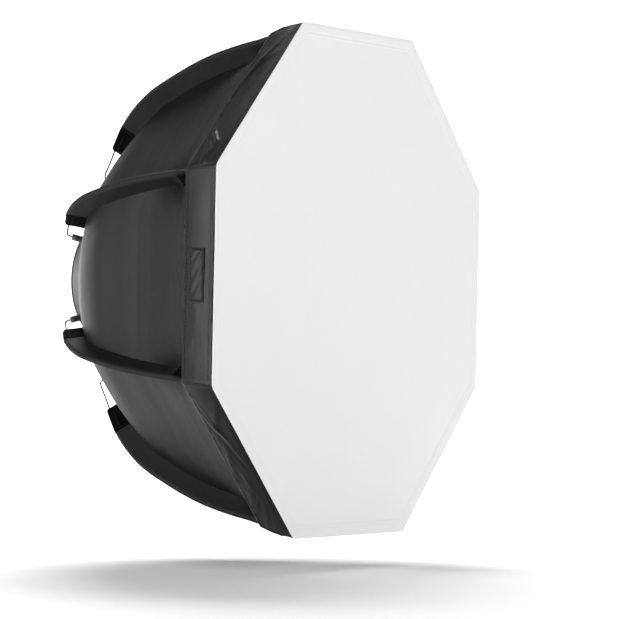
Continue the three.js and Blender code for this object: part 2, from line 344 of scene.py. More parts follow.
def math_node(tree, operation, a, b=None):
    """A maths node fed by sockets or numbers."""
    made = tree.nodes.new("ShaderNodeMath")
    made.operation = operation
    for i, value in enumerate((a, b)):
        if value is None:
            continue
        if isinstance(value, (int, float)):
            made.inputs[i].default_value = value
        else:
            tree.links.new(value, made.inputs[i])
    return made.outputs[0]


def scaled(colour, factor):
    """A colour made darker or lighter, and never past white."""
    return tuple(min(c * factor, 1) for c in colour)


def tinted(tree, shader, factor, low, high):
    """Lets a factor from 0 to 1 mix two colours into the shader's base colour."""
    mix = tree.nodes.new("ShaderNodeMix")
    mix.data_type = "RGBA"
    mix.inputs["A"].default_value = (*low, 1)
    mix.inputs["B"].default_value = (*high, 1)
    tree.links.new(factor, mix.inputs["Factor"])
    tree.links.new(mix.outputs["Result"], shader.inputs["Base Color"])


def bumped(tree, shader, height, distance, strength=1.0, under=None):
    """A bump from a height field, in metres; under is a bump that lies beneath it."""
    bump = node(tree, "ShaderNodeBump", Strength=strength, Distance=distance)
    tree.links.new(height, bump.inputs["Height"])
    if under:
        tree.links.new(under.outputs["Normal"], bump.inputs["Normal"])
    tree.links.new(bump.outputs["Normal"], shader.inputs["Normal"])
    return bump


def roughness_between(tree, shader, factor, low, high):
    """Lets a factor from 0 to 1 set the roughness between two values."""
    spread = node(tree, "ShaderNodeMapRange", To_Min=low, To_Max=high)
    tree.links.new(factor, spread.inputs["Value"])
    tree.links.new(spread.outputs["Result"], shader.inputs["Roughness"])


def coordinates(tree, source, scale=(1, 1, 1)):
    """Object coordinates or the cloth's own UV map, scaled."""
    if source == "cloth":
        place = node(tree, "ShaderNodeUVMap")
        place.uv_map = "cloth"
        out = place.outputs["UV"]
    else:
        out = node(tree, "ShaderNodeTexCoord").outputs["Object"]
    mapping = node(tree, "ShaderNodeMapping", Scale=scale)
    tree.links.new(out, mapping.inputs["Vector"])
    return mapping.outputs["Vector"]


def noise(tree, vector, scale, detail=3.0, roughness=0.55):
    """A noise texture's factor at a scale."""
    made = node(tree, "ShaderNodeTexNoise", Scale=scale, Detail=detail, Roughness=roughness)
    tree.links.new(vector, made.inputs["Vector"])
    return made.outputs["Fac"]


def speckled(name, colour, roughness, grain, shades, roughnesses=None, bump=None, **rest):
    """A material mottled by noise on Object coordinates: grain holds the noise's scale, detail and roughness, shades
    the two colours it mixes, roughnesses the two it runs between, and bump the distance and strength of its relief."""
    material, tree, shader = new_material(name, colour, roughness, **rest)
    speckle = noise(tree, coordinates(tree, "object"), *grain)
    tinted(tree, shader, speckle, *shades)
    if roughnesses:
        roughness_between(tree, shader, speckle, *roughnesses)
    if bump:
        bumped(tree, shader, speckle, *bump)
    return material


def weave(tree, vector, across, along):
    """A plain weave's height from 0 to 1: two crossed sets of threads, given as threads a metre."""
    parts = tree.nodes.new("ShaderNodeSeparateXYZ")
    tree.links.new(vector, parts.inputs[0])
    waves = []
    for axis, threads in (("X", across), ("Y", along)):
        turn = math_node(tree, "MULTIPLY", parts.outputs[axis], threads * 2 * math.pi)
        waves.append(math_node(tree, "SINE", turn))
    product = math_node(tree, "MULTIPLY", waves[0], waves[1])
    return math_node(tree, "MULTIPLY_ADD", product, 0.5)


def woven_cloth(name, colour, roughness, threads, depth, streak=0.25, specular=0.1):
    """Woven nylon: crossed threads as bump, faint streaks along the weft and slow dusty patches in its colour."""
    material, tree, shader = new_material(name, colour, roughness, specular=specular)
    cloth = coordinates(tree, "cloth")
    threads_height = weave(tree, cloth, threads, threads)
    streaks = noise(tree, coordinates(tree, "cloth", (0.02, 1, 1)), 420.0, 2.0)
    patches = noise(tree, coordinates(tree, "object"), 9.0, 4.0)
    mixed = math_node(tree, "ADD", math_node(tree, "MULTIPLY", streaks, streak),
                      math_node(tree, "MULTIPLY", patches, 1 - streak))
    tinted(tree, shader, mixed, scaled(colour, 0.6), scaled(colour, 1.45))
    roughness_between(tree, shader, patches, roughness - 0.05, roughness + 0.05)
    crumple = node(tree, "ShaderNodeBump", Strength=0.35, Distance=0.0008)
    tree.links.new(noise(tree, coordinates(tree, "object"), 60.0, 4.0, 0.5), crumple.inputs["Height"])
    bumped(tree, shader, threads_height, depth, 0.7, crumple)
    return material


def ribbed_webbing(name, colour, ribs, depth):
    """Black webbing: ribs across its length, a fine twill between them, and painted shade in the grooves with a
    painted highlight on the rib tops.
    """
    material, tree, shader = new_material(name, colour, 0.75, specular=0.02)
    cloth = coordinates(tree, "cloth")
    parts = tree.nodes.new("ShaderNodeSeparateXYZ")
    tree.links.new(cloth, parts.inputs[0])
    rib = math_node(tree, "SINE", math_node(tree, "MULTIPLY", parts.outputs["X"], ribs * 2 * math.pi))
    fine = math_node(tree, "SINE", math_node(tree, "MULTIPLY", math_node(
        tree, "ADD", parts.outputs["X"], parts.outputs["Y"]), ribs * 5 * math.pi))
    height = math_node(tree, "ADD", math_node(tree, "MULTIPLY", rib, 0.7), math_node(tree, "MULTIPLY", fine, 0.3))
    # Painted shade and highlight: the colour follows the relief, darker in the grooves and lighter on the rib tops.
    painted_groove_shade_and_crest_light = math_node(tree, "ADD", math_node(tree, "MULTIPLY", height, 0.3), 0.5)
    tinted(tree, shader, painted_groove_shade_and_crest_light, scaled(colour, 0.5), scaled(colour, 2.2))
    bumped(tree, shader, height, depth, 0.9)
    return material


def make_materials(looks):
    """Every finish of the softbox, from the sizes and colours in the panel."""
    made = {}
    made["canopy"] = woven_cloth("canopy_nylon", tuple(looks.canopy), 0.45, looks.weave, 0.00012, streak=0.5,
                                 specular=0.13)
    made["sleeve"] = woven_cloth("sleeve_nylon", tuple(looks.sleeve), 0.55, looks.weave * 0.8, 0.00016,
                                 specular=0.05)
    made["hem"] = woven_cloth("hem_satin", tuple(looks.hem), 0.34, looks.weave * 1.3, 0.00006, streak=0.5,
                              specular=0.06)
    made["webbing"] = ribbed_webbing("black_webbing", tuple(looks.webbing), 520.0, 0.0004)
    made["thread"] = speckled("thread", scaled(looks.sleeve, 1.6), 0.6, (900.0, 2.0),
                              (scaled(looks.sleeve, 0.9), scaled(looks.sleeve, 2.4)), specular=0.05)

    made["diffuser"], tree, shader = new_material("diffuser_cloth", tuple(looks.diffuser), 0.8, specular=0.2)
    cloth = coordinates(tree, "cloth")
    threads = weave(tree, cloth, looks.weave * 1.1, looks.weave * 1.1)
    cloudy = noise(tree, coordinates(tree, "object"), 14.0, 3.0)
    tinted(tree, shader, cloudy, scaled(looks.diffuser, 0.975), tuple(looks.diffuser))
    bumped(tree, shader, threads, 0.00006, 0.6)

    made["silver"] = speckled("silver_lining", (0.62, 0.62, 0.63), 0.34, (240.0, 4.0, 0.6),
                              ((0.5, 0.5, 0.51), (0.72, 0.72, 0.73)), (0.26, 0.46), (0.0004, 0.6), metallic=0.85)
    made["tape"] = speckled("hook_tape", scaled(looks.webbing, 0.8), 0.95, (1300.0, 2.0, 0.8),
                            ((0.006, 0.006, 0.007), (0.05, 0.05, 0.052)), None, (0.0008, 1.0), specular=0.05)
    made["hub"] = speckled("cast_metal", tuple(looks.hub), 0.6, (380.0, 5.0, 0.6),
                           (scaled(looks.hub, 0.82), scaled(looks.hub, 1.12)), (0.52, 0.66), (0.00015, 0.6),
                           metallic=0.3, specular=0.2)
    made["plastic"] = speckled("moulded_plastic", (0.016, 0.016, 0.017), 0.42, (900.0, 3.0, 0.6),
                               ((0.012, 0.012, 0.013), (0.026, 0.026, 0.028)), (0.34, 0.52), (0.00012, 0.7))
    made["ferrule"] = speckled("ferrule_nickel", (0.2, 0.2, 0.205), 0.35, (500.0, 4.0, 0.65),
                               ((0.12, 0.12, 0.125), (0.3, 0.3, 0.31)), (0.24, 0.5), metallic=0.9)

    made["cord"], tree, shader = new_material("elastic_cord", (0.012, 0.012, 0.013), 0.6, specular=0.1)
    cloth = coordinates(tree, "cloth")
    braid = weave(tree, cloth, 1400.0, 1400.0)
    # Painted shade and highlight: the braid's valleys are coloured darker and its crests lighter, following the bump.
    tinted(tree, shader, braid, (0.008, 0.008, 0.009), (0.024, 0.024, 0.025))
    bumped(tree, shader, braid, 0.00015, 0.8)

    made["steel"] = speckled("spring_steel", (0.16, 0.16, 0.165), 0.33, (700.0, 3.0, 0.6),
                             ((0.1, 0.1, 0.105), (0.24, 0.24, 0.245)), (0.25, 0.45), metallic=0.95)
    made["studio_floor"] = speckled("studio_floor", tuple(looks.floor), 0.85, (1.5, 3.0),
                                    (scaled(looks.floor, 0.985), tuple(looks.floor)))
    return made


MATERIALS = {}


# ---------------------------------------------------------------- sizes and colours

def colour_property(name, description, *default):
    """A colour that can be picked in the panel."""
    return bpy.props.FloatVectorProperty(name=name, description=description, subtype="COLOR", size=3, min=0, max=1,
                                         default=default)


def length_property(name, description, least, most, default):
    """A length in metres that can be set in the panel."""
    return bpy.props.FloatProperty(name=name, description=description, unit="LENGTH", min=least, max=most,
                                   default=default, precision=4)


class SoftboxLooks(bpy.types.PropertyGroup):
    """The finishes that a user would change."""
    canopy: colour_property("Canopy", "Colour of the canopy's nylon", 0.0045, 0.0045, 0.0047)
    sleeve: colour_property("Sleeves", "Colour of the rib sleeves", 0.0115, 0.0115, 0.0118)
    hem: colour_property("Hem", "Colour of the satin hem", 0.0120, 0.0112, 0.0127)
    webbing: colour_property("Webbing", "Colour of caps, tabs and bindings", 0.0014, 0.0014, 0.0015)
    diffuser: colour_property("Diffuser", "Colour of the white front cloth", 0.74, 0.74, 0.74)
    hub: colour_property("Hub", "Colour of the hub's cast metal", 0.11, 0.11, 0.113)
    floor: colour_property("Studio", "Colour of the floor and backdrop", 0.94, 0.94, 0.94)
    weave: bpy.props.FloatProperty(name="Weave", description="Threads of the canopy's weave, a metre", min=100,
                                   max=4000, default=900)


class SoftboxSizes(bpy.types.PropertyGroup):
    """The cloth's sizes, in metres."""
    cloth: length_property("Cloth", "Thickness of the nylon", 0.0001, 0.002, 0.0006)
    sleeve: length_property("Sleeve width", "From a rib's rod to the sleeve's sewn edge", 0.01, 0.04, 0.024)
    crown: bpy.props.FloatProperty(name="Canopy crown", description="How full the panels stand between the ribs, as "
                                   "a share of their cut", min=0, max=2, default=1)
    bulge: length_property("Hem bulge", "How far the hem's channel puffs out", 0, 0.008, 0.0026)
    fold: length_property("Hem folds", "Height of the hem's diagonal folds", 0, 0.005, 0.0016)
    pucker: length_property("Pucker", "Depth of the gathers along the sewn seams", 0, 0.003, 0.0010)
    crease: length_property("Crease", "Depth of the canopy's long soft creases", 0, 0.004, 0.0006)


def looks():
    return bpy.context.scene.softbox_looks


def sizes():
    return bpy.context.scene.softbox_sizes


def finish_of(name):
    """The named material; all of them are made when the first is asked for."""
    if not MATERIALS:
        MATERIALS.update(make_materials(looks()))
    return MATERIALS[name]


def place(obj, body, slot=None, *nodes):
    """Rides a piece on its body and hides the CAD nodes it stands for; slot is not used."""
    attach(obj, body)
    if nodes:
        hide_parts(*nodes)
    return obj


# ---------------------------------------------------------------- canopy

SEAM = smooth_line(SEAM_ROUTE, 241)
GORE_ROWS, GORE_COLS = 84, 121


def gore_points(number, size):
    """A canopy panel's cloth: the seam line, carried across to the next seam and raised between them by the crown's
    height times 1 - |u|^n. Two gentle long swells, fine pulls beside the seams, and short gathers that fade within
    15 mm of the hem are added along the outward normal."""
    line = part_of_line(SEAM, 0, 1, GORE_ROWS)
    behind = length_along(line)[:, None]
    out_way = normals_of(line)
    u = np.sin(np.linspace(-1, 1, GORE_COLS) * 0.5 * math.pi * 0.86) / math.sin(0.5 * math.pi * 0.86)
    side = line[:, :1] * HALF_WIDTH * u[None, :]
    height = np.interp(line[:, 1], *np.array(CROWN_ROUTE).T)[:, None]
    front = smoothstep(0.20, 0.26, line[:, 1])[:, None]
    crown = size.crown * height * ((1 - np.abs(u) ** 5)[None, :] * front + (1 - np.abs(u) ** 2.6)[None, :]
                                   * (1 - front))
    sharp = ripples(side / 0.006, behind * 0, number * 7 + 1, 9)
    gathers = size.pucker * 0.55 * np.exp(-behind / 0.009) * sharp
    edge = (1 - np.abs(u)[None, :]) * line[:, :1] * HALF_WIDTH
    pulls = 0.3 * size.pucker * np.exp(-edge / 0.012) * ripples(behind / 0.007, side * 0, number * 7 + 3, 9)
    swells = size.crease * (ripples(side / 0.060, behind / 0.075, number * 7 + 4, 7)
                            + 0.25 * ripples(side / 0.022, behind / 0.030, number * 7 + 5, 9))
    off = (gathers + pulls + swells) * smoothstep(0, 0.010, edge + 0.001)
    out = line[:, :1] * FLAT + crown + off * out_way[:, :1]
    forward = line[:, 1:] - 0.65 * crown * (1 - front) * smoothstep(0.24, 0.10, line[:, 1])[:, None] \
        + off * out_way[:, 1:]
    uv = np.stack([side + 0.2 * number, behind * np.ones_like(side)], -1)
    return np.stack([out, forward * np.ones_like(out), side], -1), uv


def add_gore(number, angle, size):
    """One canopy panel with its silvered inner face."""
    points, uv = gore_points(number, size)
    obj = new_mesh(f"gore_cloth_{number}", turned(points, angle), grid_quads(*points.shape[:2]), uv=uv,
                   material=finish_of("canopy"), outwards=False)
    obj.data.materials.append(finish_of("silver"))
    face_sheet(obj)
    wall = obj.modifiers.new("cloth_thickness", "SOLIDIFY")
    wall.thickness = size.cloth
    wall.offset = -1
    wall.material_offset = 1
    finished(obj)
    place(obj, f"gore_{number}", "canopy_fabric", f"canopy_gore_{number}")
    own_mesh(obj)
    return obj


def add_seam_tape(number, angle, size):
    """The binding tape inside a seam: a strip 32 mm wide under the two panels' edges, bent along the seam."""
    line = part_of_line(SEAM, 0.02, 0.99, 90)
    line = line - normals_of(line) * 0.0022
    u = np.linspace(-1, 1, 13)
    side = 0.016 * u[None, :] * np.ones((len(line), 1)) * np.minimum(1, line[:, :1] / 0.1)
    out = line[:, :1] - np.abs(side) * math.tan(HALF) - 0.0003 * np.cos(length_along(line)[:, None] * 700) * u ** 2
    points = np.stack([out, line[:, 1:] * np.ones_like(side), side], -1)
    uv = np.stack(np.broadcast_arrays(side, length_along(line)[:, None]), -1)
    obj = new_mesh(f"seam_tape_{number}", turned(points, angle), grid_quads(*side.shape), uv=uv,
                   material=finish_of("webbing"), outwards=False)
    face_sheet(obj)
    solidified(obj, size.cloth, -1)
    return place(obj, f"rib_{number}", "webbing")


class SOFTBOX_OT_canopy(bpy.types.Operator):
    """Make the eight canopy panels and the tapes inside their seams"""
    bl_idname = "softbox.canopy"
    bl_label = "Canopy"

    def execute(self, context):
        for k in range(SIDES):
            add_gore(k + 1, GORE_ANGLES[k], sizes())
            add_seam_tape(k + 1, RIB_ANGLES[k], sizes())
        return {"FINISHED"}


# ---------------------------------------------------------------- hem

HEM_REAR_APOTHEM = HEM_BACK_RADIUS * FLAT
RIM_APOTHEM = RIM * FLAT
RIM_FORWARD = BOX_DEPTH - 0.0010
HEM_STEPS = 241
OUTER_STEPS = 34


def hem_section(size):
    """The hem channel's closed outline as (apothem, forward), with each point's share of the outer face: the rear
    fold, the puffed outer face, the front roll that tucks behind the diffuser, and the inner face."""
    t = np.linspace(0, 1, OUTER_STEPS)
    outer_forward = HEM_BACK + 0.0005 + (RIM_FORWARD - HEM_BACK - 0.0023) * t
    puff = size.bulge * np.sin(math.pi * t ** 0.9) ** 0.8
    outer_apothem = HEM_REAR_APOTHEM + (RIM_APOTHEM - 0.0006 - HEM_REAR_APOTHEM) * t + puff
    roll = np.linspace(0.15, 1, 9) * math.pi * 0.5
    roll_apothem = outer_apothem[-1] - 0.0018 * (1 - np.cos(roll))
    roll_forward = outer_forward[-1] + 0.0018 * np.sin(roll)
    back = np.linspace(0, 1, 12)
    inner_forward = RIM_FORWARD - 0.0012 - (RIM_FORWARD - HEM_BACK - 0.0027) * back
    inner_apothem = (RIM_APOTHEM - 0.0088) + (HEM_REAR_APOTHEM - 0.0030 - (RIM_APOTHEM - 0.0088)) * back
    rear = np.array([[HEM_REAR_APOTHEM - 0.0026, HEM_BACK - 0.0006], [HEM_REAR_APOTHEM - 0.0012, HEM_BACK - 0.0010]])
    section = np.concatenate([np.stack([outer_apothem, outer_forward], 1), np.stack([roll_apothem, roll_forward], 1),
                              np.stack([inner_apothem, inner_forward], 1), rear])
    return section, t


def fold_field(side, across, seed, count, reach):
    """Soft diagonal folds in a strip: each is a ridge along a slanted, slightly curved line, with the profile of a
    bell and a shallow hollow beside it, fading towards its ends. side and across are in metres."""
    rng = np.random.default_rng(seed)
    field = np.zeros(np.broadcast(side, across).shape)
    for _ in range(count):
        middle, slant = rng.uniform(-reach, reach), rng.uniform(1.1, 3.4) * rng.choice([-1, 1])
        width, bow = rng.uniform(0.0026, 0.0070), rng.uniform(-16, 16)
        strength, low, high = rng.uniform(0.35, 1.0), rng.uniform(-0.01, 0.018), rng.uniform(0.028, 0.058)
        off = side - middle - slant * (across - 0.024) - bow * (across - 0.024) ** 2
        off = off / math.sqrt(1 + slant ** 2)
        fade = smoothstep(low, low + 0.014, across) * (1 - smoothstep(high - 0.014, high, across))
        field = field + strength * fade * (np.exp(-(off / width) ** 2) - 0.5 * np.exp(
            -((off - 1.6 * width) / (1.5 * width)) ** 2))
    return field


def hem_points(number, size):
    """The hem channel on one side: its section carried along the side and mitred at both corners. The outer face
    carries a few diagonal folds, most on the sides away from the patch, uneven gathers at its rear seam, and sinks
    into a groove at the corner seams."""
    section, t = hem_section(size)
    u = np.sin(np.linspace(-1, 1, HEM_STEPS) * 0.5 * math.pi * 0.9) / math.sin(0.5 * math.pi * 0.9)
    out = section[:, 0][None, :] * np.ones((HEM_STEPS, 1))
    forward = section[:, 1][None, :] * np.ones((HEM_STEPS, 1))
    side = out * math.tan(HALF) * u[:, None]
    share = np.zeros(len(section))
    share[:OUTER_STEPS] = np.sin(math.pi * np.clip(t, 0.02, 0.985)) ** 0.5
    outer = np.zeros(len(section))
    outer[:OUTER_STEPS] = 1
    across = np.zeros(len(section))
    across[:OUTER_STEPS] = t * HEM_FACE
    across = across[None, :]
    seed = number * 23
    calm = 0.25 if number == 4 else 1.0
    edge = (1 - np.abs(u)[:, None]) * RIM_APOTHEM * math.tan(HALF)
    folds = calm * size.fold * fold_field(side, across, seed + 1, 9, 0.12) * share[None, :]
    gathers = size.pucker * np.exp(-across / 0.0048) * np.minimum(ripples(
        side / 0.0028, across * 0, seed + 2, 11) * 2.2, 0.5) * outer[None, :]
    front = 0.45 * size.pucker * np.exp(-(HEM_FACE - across) / 0.006) * ripples(
        side / 0.004, across * 0, seed + 3, 9) * outer[None, :]
    soft = size.pucker * 0.8 * ripples(side / 0.020, across / 0.014, seed + 4, 9) * share[None, :]
    pulled = 0.35 * size.pucker * np.exp(-edge / 0.014) * ripples(across / 0.0040, side / 0.012, seed + 5, 9) \
        * share[None, :]
    move = (folds + gathers + front + soft + pulled) * smoothstep(0, 0.006, edge + 0.0005)
    taut = -0.75 * size.bulge * np.exp(-edge / 0.020)
    ridge = 0.0006 * np.exp(-((edge - 0.0026) / 0.0014) ** 2) - 0.0007 * np.exp(-(edge / 0.0011) ** 2)
    out = out + move + (ridge + taut) * share[None, :]
    side = np.clip(side, -out * math.tan(HALF), out * math.tan(HALF))
    side[0], side[-1] = -out[0] * math.tan(HALF), out[-1] * math.tan(HALF)
    around = np.concatenate([[0], np.cumsum(np.linalg.norm(np.diff(section, axis=0), axis=1))])
    uv = np.stack(np.broadcast_arrays(side + 0.3 * number, around[None, :]), -1)
    return np.stack([out, forward, side], -1), uv


def add_hem_side(number, angle, size):
    """One side of the hem: the puffed satin channel, its stitching, and the lip with the hook tape."""
    points, uv = hem_points(number, size)
    rows, cols = points.shape[:2]
    caps = [np.arange(cols)[::-1], (rows - 1) * cols + np.arange(cols)]
    channel = new_mesh(f"hem_channel_{number}", turned(points, angle), grid_quads(rows, cols, True), uv=uv, caps=caps,
                       material=finish_of("hem"))
    up = np.tile(turned(np.array([[1.0, -0.2, 0]]), angle), (60, 1))
    rows_of_thread = []
    for share_along, radius in ((3, 0.00045), (30, 0.0004)):
        line = points[8:-8, share_along]
        line = np.stack([np.interp(np.linspace(0, 1, 60), np.linspace(0, 1, len(line)), line[:, j])
                         for j in range(3)], -1)
        rows_of_thread.append(stitches(f"hem_thread_{number}_{share_along}", turned(line, angle), up, *HEM_STITCH,
                                       radius))
    lip_outline = np.array([[RIM_APOTHEM - 0.0045, -0.0002], [RIM_APOTHEM - 0.0225, -0.0002],
                            [RIM_APOTHEM - 0.0229, -0.0008], [RIM_APOTHEM - 0.0225, -0.0016],
                            [RIM_APOTHEM - 0.0045, -0.0016]]) + [0, RIM_FORWARD]
    lip = mitred_strip(f"hem_lip_{number}", lip_outline, angle, finish_of("sleeve"))
    tape_outline = np.array([[RIM_APOTHEM - 0.0060, 0.0004], [RIM_APOTHEM - 0.0205, 0.0004],
                             [RIM_APOTHEM - 0.0205, -0.0002], [RIM_APOTHEM - 0.0060, -0.0002]]) + [0, RIM_FORWARD]
    tape = mitred_strip(f"hem_tape_{number}", tape_outline, angle, finish_of("tape"))
    obj = joined(f"hem_channel_{number}", [channel, *rows_of_thread, lip, tape])
    place(obj, f"gore_{number}", "hem_satin", *(["front_hem"] if number == 1 else []))
    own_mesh(obj)
    return obj


def mitred_strip(name, outline, angle, material, steps=24):
    """A closed outline of (apothem, forward) carried along one side of the octagon and mitred at both corners."""
    u = np.linspace(-1, 1, steps)[:, None]
    out = outline[:, 0][None, :] * np.ones((steps, 1))
    forward = outline[:, 1][None, :] * np.ones((steps, 1))
    side = (out * math.tan(HALF) - 0.0004) * u
    points = np.stack([out, forward, side], -1)
    cols = len(outline)
    caps = [np.arange(cols)[::-1], (steps - 1) * cols + np.arange(cols)]
    uv = np.stack([side, out], -1)
    return new_mesh(name, turned(points, angle), grid_quads(steps, cols, True), uv=uv, caps=caps, material=material,
                    smooth=False)


PATCH_FORWARD = BOX_DEPTH - 0.026
PATCH_HALF = (0.0115, 0.0310)


def add_hem_patch(size):
    """The stitched patch on the hem's -X side: a soft rectangle that follows the hem's slope, with diagonal
    wrinkles, a turned edge and a row of stitches all round."""
    section, t = hem_section(size)
    rows, cols = 57, 101
    v = np.linspace(-1, 1, rows)[:, None]
    u = np.linspace(-1, 1, cols)[None, :]
    forward = PATCH_FORWARD + v * PATCH_HALF[0]
    side = u * PATCH_HALF[1]
    apothem = np.interp(forward, section[:len(t), 1], section[:len(t), 0])
    rim = np.maximum(np.abs(v) ** 6, np.abs(u) ** 14)
    wrinkles = 0.00030 * np.sin((side + forward * 1.3) / 0.0165 * 2 * math.pi + 3 * ripples(
        side / 0.02, forward / 0.02, 501)) * (1 - rim)
    seam_dip = -0.0006 * np.exp(-((np.maximum((np.abs(v) - 1) * PATCH_HALF[0], (np.abs(u) - 1) * PATCH_HALF[1])
                                   + 0.0018) / 0.0007) ** 2)
    lift = 0.0013 + wrinkles + seam_dip + 0.0006 * (1 - rim)
    out = apothem + lift - 0.0012 * rim ** 4
    points = np.stack(np.broadcast_arrays(out, forward, side), -1)
    uv = np.stack(np.broadcast_arrays(side, forward), -1)
    angle = math.pi
    patch = new_mesh("hem_patch_cloth", turned(points, angle), grid_quads(rows, cols), uv=uv,
                     material=finish_of("hem"), outwards=False)
    face_sheet(patch)
    solidified(patch, 0.0009, -1)
    edge_v, edge_u = PATCH_HALF[0] - 0.0018, PATCH_HALF[1] - 0.0018
    loop = np.array([[-edge_v, -edge_u], [-edge_v, edge_u], [edge_v, edge_u], [edge_v, -edge_u], [-edge_v, -edge_u]])
    threads = []
    for i in range(4):
        way = np.linspace(loop[i], loop[i + 1], 30)
        f = PATCH_FORWARD + way[:, 0]
        a = np.interp(f, section[:len(t), 1], section[:len(t), 0]) + 0.0017
        line = turned(np.stack([a, f, way[:, 1]], -1), angle)
        up = np.tile(turned(np.array([[1.0, -0.2, 0]]), angle), (30, 1))
        threads.append(stitches(f"patch_thread_{i}", line, up, *PATCH_STITCH))
    obj = joined("hem_patch_cloth", [patch, *threads])
    place(obj, "gore_4", "hem_satin", "hem_patch")
    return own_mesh(obj)


class SOFTBOX_OT_hem(bpy.types.Operator):
    """Make the padded satin hem round the front, its lip with hook tape, and its patch"""
    bl_idname = "softbox.hem"
    bl_label = "Hem"

    def execute(self, context):
        for k in range(SIDES):
            add_hem_side(k + 1, GORE_ANGLES[k], sizes())
        add_hem_patch(sizes())
        return {"FINISHED"}


# ---------------------------------------------------------------- diffuser

def add_diffuser(size):
    """The white front cloth: an octagon whose rings run from the middle to the edge, each ring flat-sided. It lies
    1.6 mm proud in its middle, falls to the lip at its edge, and has a turned edge with a sewn line."""
    rings, per_side = 60, 28
    corner_radius = RIM + 0.0002
    rho = np.concatenate([np.linspace(0.012, 0.94, rings - 16), np.linspace(0.945, 1, 16)])
    u = np.sin(np.linspace(-1, 1, per_side, endpoint=False) * math.pi / 2)
    sector = np.arange(SIDES)[:, None]
    angle = (sector + 1) * 2 * HALF * np.ones_like(u)[None, :]
    blunt = 1 - 0.003 * np.abs(u) ** 60
    out = corner_radius * FLAT * blunt[None, :] * np.ones((SIDES, 1))
    side = corner_radius * FLAT * math.tan(HALF) * (-u * blunt)[None, :] * np.ones((SIDES, 1))
    x = (out * np.cos(angle) + side * np.sin(angle)).ravel()
    z = (-out * np.sin(angle) + side * np.cos(angle)).ravel()
    r = rho[:, None]
    px, pz = r * x[None, :], r * z[None, :]
    edge = (1 - rho) * corner_radius * FLAT
    pillow = 0.0016 * (1 - r ** 2)
    turned_edge = 0.0007 * smoothstep(0.0155, 0.0145, edge)[:, None] - 0.0006 * np.exp(
        -((edge - 0.0125) / 0.0009) ** 2)[:, None]
    slack = 0.0005 * ripples(px / 0.06, pz / 0.06, 77) * (1 - r ** 4) + 0.00035 * np.exp(
        -edge / 0.02)[:, None] * ripples(px / 0.012, pz / 0.012, 78)
    forward = BOX_DEPTH - 0.0004 + pillow + turned_edge + slack - 0.0003 * (1 - smoothstep(0, 0.003, edge))[:, None]
    points = np.stack([px, -forward, pz], -1)
    rows, cols = px.shape
    middle = np.array([[0, points[0, :, 1].mean(), 0]])
    uv = np.concatenate([np.stack([px, pz], -1).reshape(-1, 2), [[0, 0]]])
    centre = rows * cols
    hub_fan = [[centre, (c + 1) % cols, c] for c in range(cols)]
    obj = new_mesh("diffuser_cloth", np.concatenate([points.reshape(-1, 3), middle]), grid_quads(rows, cols, True),
                   uv=uv, caps=hub_fan, material=finish_of("diffuser"), outwards=False)
    face_sheet(obj)
    solidified(obj, size.cloth, -1)
    place(obj, "diffuser_panel", "diffuser_cloth", "diffuser")
    return obj


class SOFTBOX_OT_diffuser(bpy.types.Operator):
    """Make the white diffuser cloth"""
    bl_idname = "softbox.diffuser"
    bl_label = "Diffuser"

    def execute(self, context):
        add_diffuser(sizes())
        return {"FINISHED"}


# ---------------------------------------------------------------- ribs: rods, sleeves, caps, tabs, cords

ROD = smooth_line(ROD_ROUTE, 401)
POCKET = 0.0036
LEAN = math.radians(5)
LEAN_AT_TAB = math.radians(38)


def owner_side(number):
    """Which way a rib's sleeve lies: towards the even-numbered panel beside it."""
    return 1 if number % 2 else -1


def rib_frames(start, end, count, number):
    """Places along a rod with the directions of its sleeve there: the rod's centre, inwards along the sleeve's
    wall, and square to the wall. The wall stands off the seam, and turns down to the panel where the tab holds it."""
    line = part_of_line(ROD, start, end, count)
    out_way = normals_of(line)
    t = (np.linspace(start, end, count) - SLEEVE_FROM) / (CAP_FROM - SLEEVE_FROM)
    lean = LEAN * (1 - 0.8 * smoothstep(0.7, 1, t)) + (LEAN_AT_TAB - LEAN) * (1 - smoothstep(-0.01, 0.12, t))
    owner = owner_side(number)
    flat = np.concatenate([out_way, np.zeros((count, 1))], 1)
    across = np.array([0, 0, owner])
    wall = -flat * np.cos(lean)[:, None] + across * np.sin(lean)[:, None]
    face = flat * np.sin(lean)[:, None] + across * np.cos(lean)[:, None]
    centre = np.concatenate([line, np.zeros((count, 1))], 1)
    return centre, wall, face, t


def pocket_outline(width, pocket, wall, nose_steps=11, wall_steps=15):
    """The folded strip's section as (inwards, off the wall): down from the sewn edge, round the rod, and back. The
    half thickness falls in a long slope from the pocket's radius to the wall's at the sewn edge."""
    x = width * (1 - np.linspace(0, 1, wall_steps, endpoint=False))
    half = wall + (pocket - wall) * (1 - x / width) ** 1.3
    turn = np.linspace(0, math.pi, nose_steps)
    nose = np.stack([-pocket * np.sin(turn), pocket * np.cos(turn)], 1)
    return np.concatenate([np.stack([x, half], 1), nose, np.stack([x[::-1], -half[::-1]], 1)])


